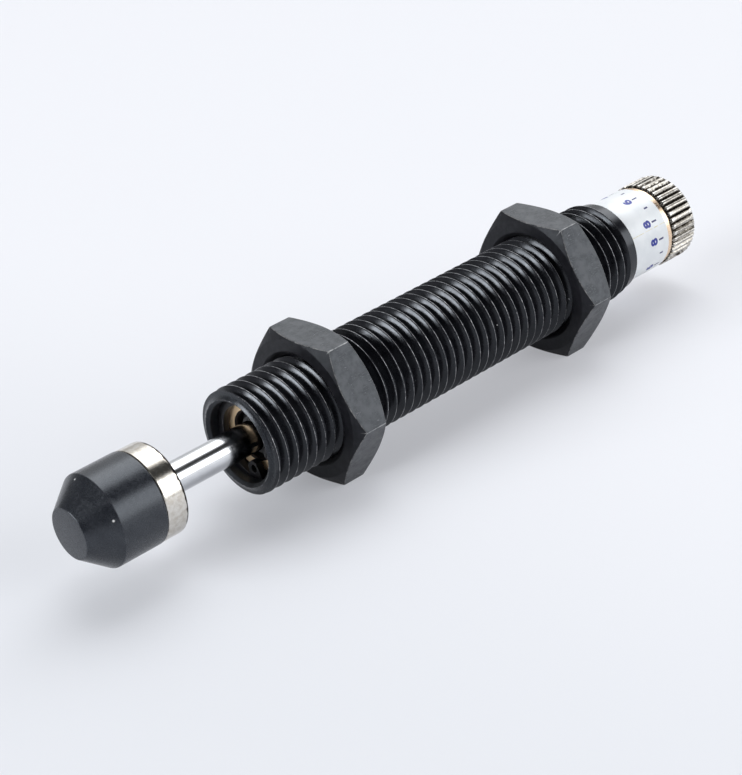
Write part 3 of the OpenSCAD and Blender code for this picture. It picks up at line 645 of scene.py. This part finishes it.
def lock_nut(name, node, body):
    x0, x1 = span(node)
    half_af = radius(node)
    face_r, bore_r, chamfer = half_af - 0.15, TUBE_R + 0.05, 0.7
    angles = []
    for f in range(6):
        corner = f * 60
        angles += [corner + m for m in HEX_STEPS] + [corner + 60 - m for m in reversed(HEX_STEPS[1:-1])]
    cols = [math.radians(a) for a in angles]
    tan30 = math.tan(PI / 6)
    verts, rows_of = [], []
    for a in cols:
        total = sum(abs(math.cos(a - math.radians(d))) ** HEX_POWER for d in (30, 90, 150))
        r = half_af / total ** (1 / HEX_POWER)
        cone = (r - face_r) * tan30
        s = min(0.08, (r - face_r) * 0.35)
        rim = s + min(0.06, (r - face_r) * 0.15)
        # From the bore over its chamfer, the face and the cone to the flat: (radius, depth)
        front = [(bore_r, chamfer + 0.04), (bore_r + 0.03, chamfer - 0.03), (bore_r + chamfer - 0.04, 0.04),
            (bore_r + chamfer + 0.02, 0.004), (bore_r + chamfer + 0.06, 0), (face_r - 0.05, 0),
            (face_r, 0.006), (face_r + 0.05, 0.05 * tan30 + 0.004)]
        if r - face_r < 0.12:
            front[-1] = (face_r + (r - face_r) * 0.4, cone * 0.4 + 0.003)
        front += [(r - rim, cone - rim * tan30 + 0.001), (r - s, cone - s * tan30 + 0.002),
            (r - s * 0.25, cone + s * 0.2), (r, cone + s * 1.1)]
        thick = x1 - x0
        rows = [(x0 + x, rr) for rr, x in front] + [(x0 + thick * 0.35, r), (x0 + thick * 0.65, r)]
        rows += [(x1 - x, rr) for rr, x in reversed(front)]
        rows_of.append(rows)
    n = len(rows_of[0])
    for rows, a in zip(rows_of, cols):
        verts += [on_axis(x, r, a) for x, r in rows]
    faces = []
    for c in range(len(cols)):
        d = (c + 1) % len(cols)
        for i in range(n):
            j = (i + 1) % n
            faces.append((c * n + i, c * n + j, d * n + j, d * n + i))
    made = raw_object(name, verts, faces)

    def wear(v):
        """Worn corners, the line between the cones and the flats, and the edge of the face."""
        r, a = math.hypot(v[1], v[2]), math.degrees(angle_of(v)) % 60
        off = min(a, 60 - a)
        edge = min(v[0] - x0, x1 - v[0])
        flat_r = half_af / math.cos(math.radians(30 - off))
        cone = (flat_r - face_r) * tan30
        w = 0.0
        if off < 0.5 and r > half_af + 0.5:
            w = 0.95 - off * 0.4
        if r > face_r - 0.04 and -0.055 < edge - cone < 0.035:
            w = max(w, 0.85)
        if abs(r - face_r) < 0.06 and edge < 0.03:
            w = max(w, 0.3)
        return w
    return done(made, body, [nut_black, nut_turned], node, sharp=50, wear=wear,
        pick=lambda c, n: 1 if abs(n[0]) > 0.6 or math.hypot(c[1], c[2]) < half_af - 0.5 else 0)


lock_nut("front_lock_nut_hexagon", "front_nut", "front_lock_nut")
lock_nut("rear_lock_nut_hexagon", "rear_nut", "rear_lock_nut")


# ---- Adjuster knob: smooth barrel and straight knurl

RIBS = 40
# One rib of the knurl from groove to groove: (share of its width, height)
RIB = [(0.0, 0.0), (0.035, 0.02), (0.12, 0.16), (0.24, 0.32), (0.29, 0.38), (0.33, 0.4), (0.5, 0.4),
    (0.67, 0.4), (0.71, 0.38), (0.76, 0.32), (0.88, 0.16), (0.965, 0.02)]
KNOB_HOLE_R, KNOB_RECESS_R = 2.52, 4.3  # for the stem and for the tube's spigot


def knob_solid():
    groove_r, rear_r = GRIP_R - 0.4, GRIP_R - 0.45
    barrel_r = LABEL_R - 0.14
    verts, cols = [], []
    for i in range(RIBS):
        for t, up in RIB:
            cols.append((2 * PI * (i + t) / RIBS, groove_r + up))
    rows_of = []
    for a, r in cols:
        # From the hole's bottom forwards, round the front and back over the barrel and the knurl
        rise = max(r - groove_r, 0.0)
        fall = max(r - rear_r, 0.0)
        rows_of.append([
            (KNOB_END - 0.5, 0.01), (KNOB_END - 0.5, KNOB_HOLE_R), (TUBE_END + 0.3, KNOB_HOLE_R),
            (TUBE_END + 0.3, KNOB_RECESS_R), (KNOB_X, KNOB_RECESS_R), (KNOB_X, barrel_r - 0.05),
            (KNOB_X + 0.05, barrel_r), (GRIP_X - 0.42, barrel_r), (GRIP_X - 0.22, barrel_r),
            (GRIP_X - 0.02, barrel_r), (GRIP_X, barrel_r - 0.02), (GRIP_X, groove_r - 0.01),
            (GRIP_X + rise * 0.5, groove_r + rise * 0.5 - 0.002),
            (GRIP_X + rise * 0.9, groove_r + rise * 0.92), (GRIP_X + rise * 1.0 + 0.04, r),
            (GRIP_X + 1.5, r), (KNOB_END - 1.5, r),
            (KNOB_END - fall - 0.04, r), (KNOB_END - fall * 0.9, rear_r + fall * 0.92),
            (KNOB_END - fall * 0.5, rear_r + fall * 0.5 - 0.002), (KNOB_END - 0.004, rear_r - 0.01),
            (KNOB_END, rear_r - 0.06), (KNOB_END, rear_r - 0.2), (KNOB_END, rear_r - 2.5),
            (KNOB_END, 0.01)])
    n = len(rows_of[0])
    for rows, (a, r) in zip(rows_of, cols):
        verts += [on_axis(x, rr, a) for x, rr in rows]
    faces = []
    for c in range(len(cols)):
        d = (c + 1) % len(cols)
        for i in range(n - 1):
            faces.append((c * n + i, c * n + i + 1, d * n + i + 1, d * n + i))
    faces.append([c * n for c in range(len(cols))])
    faces.append([c * n + n - 1 for c in reversed(range(len(cols)))])
    return raw_object("adjuster_knob_knurled", verts, faces)


SCREW_R, SCREW_X, SCREW_TURN = 1.25, KNOB_END - 2.5, math.radians(45)
knob = knob_solid()
hole = turned("screw_hole", [(0, 0), (0, SCREW_R, 0), (GRIP_R + 1, SCREW_R, 0), (GRIP_R + 1, 0)], steps=48)
hole.data.transform(Matrix.Translation((SCREW_X * MM, 0, 0))
    @ Matrix.Rotation(SCREW_TURN, 4, "X") @ Matrix.Rotation(math.radians(-90), 4, "Z"))
cut(knob, hole, "DIFFERENCE")


def rib_share(v):
    """How far a point is across its rib, from 0 to 1."""
    return (angle_of(v) / (2 * PI) * RIBS) % 1


def knob_wear_and_highlight(v):
    """Bright worn edges along the ribs, and painted highlights at the rib ends."""
    r = math.hypot(v[1], v[2])
    if v[0] < GRIP_X + 0.02:
        return 0.0
    edge = max(0, 1 - abs(abs(rib_share(v) - 0.5) - 0.2) / 0.05)
    at_end = abs(v[0] - GRIP_X - 0.42) < 0.06 or abs(v[0] - KNOB_END + 0.46) < 0.06
    return max(edge if r > GRIP_R - 0.06 else 0, 1 if at_end and r > GRIP_R - 0.05 else 0)


def knob_painted_shade(v):
    """Painted shade: black in the grooves, more so on the upper side, and where the barrel meets the knurl.
    """
    r = math.hypot(v[1], v[2])
    if r < GRIP_R - 1.5 or v[0] > KNOB_END - 0.001 and r < GRIP_R - 0.6:
        return 0.0
    if v[0] < GRIP_X + 0.02:
        return clamp((v[0] - GRIP_X + 0.2) / 0.2) * 0.8
    t = rib_share(v)
    up = math.sin(angle_of(v))
    width = 0.28 + 0.14 * clamp((up - 0.75) / 0.2)
    groove = max(0, 1 - min(t, 1 - t) / width) * (0.55 + 0.45 * clamp(up * 3, -1))
    return max(groove, 0.9 if v[0] < GRIP_X + 0.25 and abs(t - 0.5) > 0.16 else 0)


def knob_part(c, n):
    """0 is the knurl, 1 the barrel and 2 the end face."""
    if c[0] > KNOB_END - 0.01:
        return 2
    return 1 if c[0] < GRIP_X + 0.001 else 0


done(knob, "adjuster", [knob_metal, barrel_metal, knob_face], "adjuster_knob", sharp=30,
    wear=knob_wear_and_highlight, pick=knob_part, dirt_and_shade=knob_painted_shade)


# ---- Scale label, its seam and its print

done(turned("scale_label_foil", [
    (LABEL_X + 0.1, LABEL_R - 0.12, 0.02), (LABEL_X + 0.1, LABEL_R, 0.05), (LABEL_END, LABEL_R, 0.05),
    (LABEL_END, LABEL_R - 0.12, 0.02)], steps=FINE), "adjuster", [foil], "scale_label")


INK_LIFT, INK_STEP = 0.004, 0.0015  # how far the print stands off, and the step between neighbours


def wrapped(name, ribbons, material):
    """Flat ribbons of quads, [(x, angle), ...] on either side and whether they close, laid on the label.
    Neighbours lie at slightly different heights, so that none shares its place with another."""
    verts, faces = [], []
    for depth, (left, right, closed) in enumerate(ribbons):
        start = len(verts)
        lift = LABEL_R + INK_LIFT + INK_STEP * (depth % 3)
        for p, q in zip(left, right):
            verts += [on_axis(p[0], lift, p[1]), on_axis(q[0], lift, q[1])]
        n = len(left)
        for k in range(n if closed else n - 1):
            m = (k + 1) % n
            faces.append((start + 2 * k, start + 2 * k + 1, start + 2 * m + 1, start + 2 * m))
    made = bpy.data.meshes.new(name)
    made.from_pydata([tuple(c * MM for c in v) for v in verts], [], faces)
    piece = bpy.data.objects.new(name, made)
    scene.collection.objects.link(piece)
    bm = bmesh.new()
    bm.from_mesh(made)
    for f in bm.faces:
        c = f.calc_center_median()
        if f.normal.y * c.y + f.normal.z * c.z < 0:
            f.normal_flip()
    bm.to_mesh(made)
    bm.free()
    made.polygons.foreach_set("use_smooth", [True] * len(made.polygons))
    made.materials.append(material)
    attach(piece, "adjuster")
    return piece


def arc(cx, cy, rx, ry, a0, a1, n):
    """n steps along an ellipse, from a0 to a1 in degrees."""
    turns = [math.radians(a0 + (a1 - a0) * k / n) for k in range(n + 1)]
    return [(cx + rx * math.cos(a), cy + ry * math.sin(a)) for a in turns]


def line(*points):
    """Straight runs from point to point, in steps of about 0.08."""
    out = []
    for a, b in zip(points, points[1:]):
        n = max(2, int(math.dist(a, b) / 0.08))
        out += [(a[0] + (b[0] - a[0]) * k / n, a[1] + (b[1] - a[1]) * k / n) for k in range(n)]
    return out + [points[-1]]


# Strokes of the numerals as centre lines in a box one wide and one high, and whether each closes
STROKES = {
    "0": [(arc(0, 0, 0.36, 0.38, 0, 360, 36)[:-1], True)],
    "2": [(arc(0, 0.2, 0.33, 0.2, 170, -20, 16) + line((0.3, 0.1), (-0.34, -0.38)), False),
        (line((-0.42, -0.39), (0.4, -0.39)), False)],
    "4": [(line((0.14, -0.48), (0.14, 0.44), (-0.38, -0.16), (0.44, -0.16)), False)],
    "6": [(arc(0, -0.16, 0.34, 0.23, 0, 360, 30)[:-1], True),
        (arc(0.06, -0.1, 0.4, 0.48, 175, 60, 16), False)],
    "8": [(arc(0, 0.2, 0.3, 0.19, 0, 360, 28)[:-1], True),
        (arc(0, -0.18, 0.34, 0.21, 0, 360, 28)[:-1], True)],
}


def ribbon(points, closed, width):
    """The two sides of a stroke of this width along points."""
    left, right = [], []
    n = len(points)
    for k, p in enumerate(points):
        a = points[k - 1] if closed or k else points[0]
        b = points[(k + 1) % n] if closed or k < n - 1 else points[-1]
        dx, dy = b[0] - a[0], b[1] - a[1]
        size = math.hypot(dx, dy) or 1
        ox, oy = -dy / size * width / 2, dx / size * width / 2
        left.append((p[0] + ox, p[1] + oy))
        right.append((p[0] - ox, p[1] - oy))
    return left, right, closed


DIGITS = "864202468"
FIRST_TURN, STEP_TURN = 7.5, 41.7  # the first numeral's angle and the step to the next, in degrees
SKEW = -0.33  # how far the last numeral stands forward of the first
TALL, BROAD, BOLD = 1.34, 1.06, 0.37  # height, width and stroke of the numerals
NUMERAL_X, LONG_X, SHORT_X = LABEL_END - 3.06, LABEL_END - 1.58, LABEL_END - 1.50  # middles of the marks
LONG, SHORT, TICK_HALF = 0.95, 0.68, 0.125  # lengths of the ticks, and half their width


def skew(angle):
    """The label is wrapped a little askew: how far its marks stand forward, by angle in degrees."""
    return SKEW * ((FIRST_TURN - angle) % 360) / (8 * STEP_TURN)


def strip(xs, angle, half):
    """A straight ribbon along the axis. angle is in radians, and half is its half width."""
    side = half / LABEL_R
    return [(x, angle - side) for x in xs], [(x, angle + side) for x in xs], False


numerals, ticks = [], []
for i, digit in enumerate(DIGITS):
    angle = FIRST_TURN - STEP_TURN * i
    for points, closed in STROKES[digit]:
        scaled = [(px * BROAD, py * TALL) for px, py in points]
        numerals.append(tuple([[(NUMERAL_X + skew(angle) - py, math.radians(angle) + px / LABEL_R)
            for px, py in s] for s in ribbon(scaled, closed, BOLD)[:2]] + [closed]))
    for middle, at, size in ((LONG_X, angle, LONG), (SHORT_X, angle - STEP_TURN / 2, SHORT)):
        if size == SHORT and i == len(DIGITS) - 1:
            continue
        x = middle + skew(at)
        ticks.append(strip([x - size / 2 + size * k / 4 for k in range(5)], math.radians(at), TICK_HALF))
wrapped("scale_numerals", numerals, ink)
wrapped("scale_ticks", ticks, tick_ink)

SEAM_TURN = math.radians(26)
# What shows of the glue in the label's seam: (start, length, half width)
SEAM = ((0.2, 2.3, 0.05), (2.8, 1.5, 0.035), (4.6, 0.9, 0.07), (5.8, 1.1, 0.04))
wrapped("label_seam", [strip([LABEL_X + start + length * k / 6 for k in range(7)], SEAM_TURN, half)
    for start, length, half in SEAM], seam_brown)


# ---- Return spring, built at its length in model.glb; the real one shortens as the rod enters

def spring_solid():
    low, high = span("return_spring")
    wire, mid = 0.4, radius("return_spring") - 0.4  # radius of the wire, and of the coil to its middle
    turns, per, sides = 9.5, 36, 12  # per is steps in a turn, sides those round the wire
    start, length = low + wire, high - low - 2 * wire
    closed = 2 * wire * 1.06  # pitch of the closed turn at either end
    pitch = (length - 2 * closed) / (turns - 2)
    verts, faces = [], []
    count = int(turns * per)
    for i in range(count + 1):
        t = i / per
        if t < 1:
            x = t * closed
        elif t > turns - 1:
            x = length - (turns - t) * closed
        else:
            x = closed + (t - 1) * pitch
        for k in range(sides):
            s = 2 * PI * k / sides
            r = mid + wire * math.cos(s)
            verts.append((start + x + wire * math.sin(s), r * math.cos(2 * PI * t), r * math.sin(2 * PI * t)))
    for i in range(count):
        for k in range(sides):
            m = (k + 1) % sides
            faces.append((i * sides + k, i * sides + m, (i + 1) * sides + m, (i + 1) * sides + k))
    faces += [list(range(sides))[::-1], [count * sides + k for k in range(sides)]]
    return raw_object("return_spring_wire", verts, faces)


spring = done(spring_solid(), "tube", [spring_steel], "return_spring", flat=False)
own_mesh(spring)


# ---- Pieces that keep their CAD shape

for node, material in (("rod_wiper", rubber), ("rod_seal", seal), ("rod_bearing", bronze),
        ("bearing_o_ring", rubber), ("accumulator_foam", foam), ("pressure_tube", steel),
        ("adjuster_shaft", steel), ("adjuster_o_ring", rubber), ("thrust_washer", bronze),
        ("knob_set_screw", screw_black), ("piston", steel), ("piston_ring", bronze),
        ("spring_seat", steel), ("piston_nut", steel)):
    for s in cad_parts[node].material_slots:
        s.material = material


# ---- Floor and light

FLOOR_HALF = 0.7  # metres
FLOOR_COLOUR = (0.766, 0.774, 0.806, 1)
PALE_SHARE = 0.38  # how much of what is seen of the floor is its plain tone, the rest being lit
# The floor's glow is a painted falloff of the light: brighter at the knob's end, darker at the bumper's.
KNOB_SIDE, BUMPER_SIDE = (0.90, 0.91, 0.965), (0.68, 0.705, 0.76)  # the plain tone at either end


def seen_by(tree, mirrors):
    """1 for the camera's rays, mirrors for reflected and refracted ones, 0 for those that gather light."""
    path = add(tree, "LightPath").outputs
    mirrored = math_of(tree, "ADD", path["Is Glossy Ray"], path["Is Transmission Ray"])
    return math_of(tree, "ADD", path["Is Camera Ray"], math_of(tree, "MULTIPLY", mirrored, mirrors))


def floor():
    bm = bmesh.new()
    bmesh.ops.create_grid(bm, x_segments=1, y_segments=1, size=FLOOR_HALF)
    mesh = bpy.data.meshes.new("studio_floor")
    bm.to_mesh(mesh)
    bm.free()
    made = bpy.data.objects.new("studio_floor", mesh)
    made.location = (0, 0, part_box("front_nut")[0][2])
    scene.collection.objects.link(made)
    m = bpy.data.materials.new("floor_white")
    m.use_nodes = True
    t = m.node_tree
    shader = t.nodes["Principled BSDF"]
    shader.inputs["Base Color"].default_value = FLOOR_COLOUR
    shader.inputs["Roughness"].default_value = 0.3
    shader.inputs["Specular IOR Level"].default_value = 0.03
    place = add(t, "SeparateXYZ", {0: add(t, "TexCoord").outputs["Object"]}).outputs
    # Painted falloff of the light across the floor, from the knob's end to the bumper's.
    across = math_of(t, "ADD", math_of(t, "MULTIPLY", place[0], -1.18),
        math_of(t, "MULTIPLY", place[1], -0.25))
    tone = blend_of(t, ease(t, across, -0.06, 0.045), KNOB_SIDE, BUMPER_SIDE)
    pale = add(t, "Emission", {"Color": tone, "Strength": 1.0})
    share = math_of(t, "MULTIPLY", seen_by(t, 1.0), PALE_SHARE)
    mixed = add(t, "MixShader", {0: share, 1: shader.outputs[0], 2: pale.outputs[0]})
    t.links.new(mixed.outputs[0], t.nodes["Material Output"].inputs["Surface"])
    mesh.materials.append(m)


floor()

PEAK = 5.0  # the brightness that a ramp's white stands for
# Brightness by angle round the X axis, in degrees upwards from the -Y side. On the right, where x is
# above 0, are two long softboxes with a dark gap between them. On the left it's nearly dark.
RIGHT = [(-180, 0.5), (-4, 0.6), (3, 1.4), (12, 3.3), (43, 3.3), (48, 0.8), (53, 0.08), (64, 0.04),
    (77, 0.06), (82, 0.6), (88, 2.2), (94, 3.6), (127, 3.6), (137, 1.7), (147, 0.95), (164, 0.7), (179, 0.5)]
LEFT = [(-180, 0.1), (-2, 0.1), (20, 0.12), (90, 0.10), (140, 0.18), (179, 0.3)]
FAR_RIGHT = 0.45
# Where one of them gives way to the next, by the direction's x
LEFT_TO_RIGHT, RIGHT_TO_FAR = (-0.1, 0.25), (0.82, 0.97)
# A small softbox on the left: brightness, and edges by the direction's z and by its angle round Z
BOX, BOX_Z, BOX_TURN = 16.5, ((0.27, 0.37), (0.58, 0.44)), ((-0.16, -0.02), (0.64, 0.52))


def ramp(tree, turn, stops):
    """Brightness by turn, a share of the full circle, from stops of (degrees, brightness)."""
    n = add(tree, "ValToRGB", {"Fac": turn})
    spots = n.color_ramp.elements
    while len(spots) < len(stops):
        spots.new(0.5)
    for spot, (angle, level) in zip(spots, stops):
        spot.position = (angle + 180) / 360
        spot.color = (level / PEAK, level / PEAK, level / PEAK, 1)
    return math_of(tree, "MULTIPLY", n.outputs[0], PEAK)


def studio():
    """Softboxes that only light the part, painted by direction, in a plain pale surrounding."""
    w = bpy.data.worlds.new("studio")
    scene.world = w
    w.use_nodes = True
    t = w.node_tree
    t.nodes.clear()
    xyz = add(t, "SeparateXYZ", {0: add(t, "TexCoord").outputs["Generated"]}).outputs
    x, y, z = xyz[0], xyz[1], xyz[2]
    turn = math_of(t, "ARCTAN2", z, math_of(t, "MULTIPLY", y, -1.0))
    turn = math_of(t, "ADD", math_of(t, "DIVIDE", turn, 2 * PI), 0.5)
    level = blend_of(t, ease(t, x, *LEFT_TO_RIGHT), ramp(t, turn, LEFT), ramp(t, turn, RIGHT), "FLOAT")
    level = blend_of(t, ease(t, x, *RIGHT_TO_FAR), level, FAR_RIGHT, "FLOAT")
    round_z = math_of(t, "ARCTAN2", y, math_of(t, "MULTIPLY", x, -1.0))
    tall = math_of(t, "MULTIPLY", *[ease(t, z, *edge) for edge in BOX_Z])
    wide = math_of(t, "MULTIPLY", *[ease(t, round_z, *edge) for edge in BOX_TURN])
    level = blend_of(t, math_of(t, "MULTIPLY", tall, wide), level, BOX, "FLOAT")
    lit = add(t, "Background", {"Color": (0.97, 0.985, 1.0, 1), "Strength": level})
    plain = add(t, "Background", {"Color": (0.86, 0.88, 0.91, 1), "Strength": 1.0})
    shown = seen_by(t, ease(t, z, 0.10, 0.02))
    pick = add(t, "MixShader", {0: shown, 1: lit.outputs[0], 2: plain.outputs[0]})
    add(t, "OutputWorld", {"Surface": pick.outputs[0]})


studio()


# ---- Camera, at the photo's viewing angle

camera = bpy.data.objects.new("camera", bpy.data.cameras.new("camera"))
scene.collection.objects.link(camera)
scene.camera = camera
camera.data.sensor_fit = "AUTO"
camera.data.sensor_width = 36
camera.data.lens = 93.60
camera.data.clip_start = 0.01
camera.location = (-0.1235435, -0.1715776, 0.1223389)
camera.rotation_euler = [math.radians(a) for a in (60.911327, 5.436187, -43.356951)]

scene.view_settings.view_transform = "Standard"
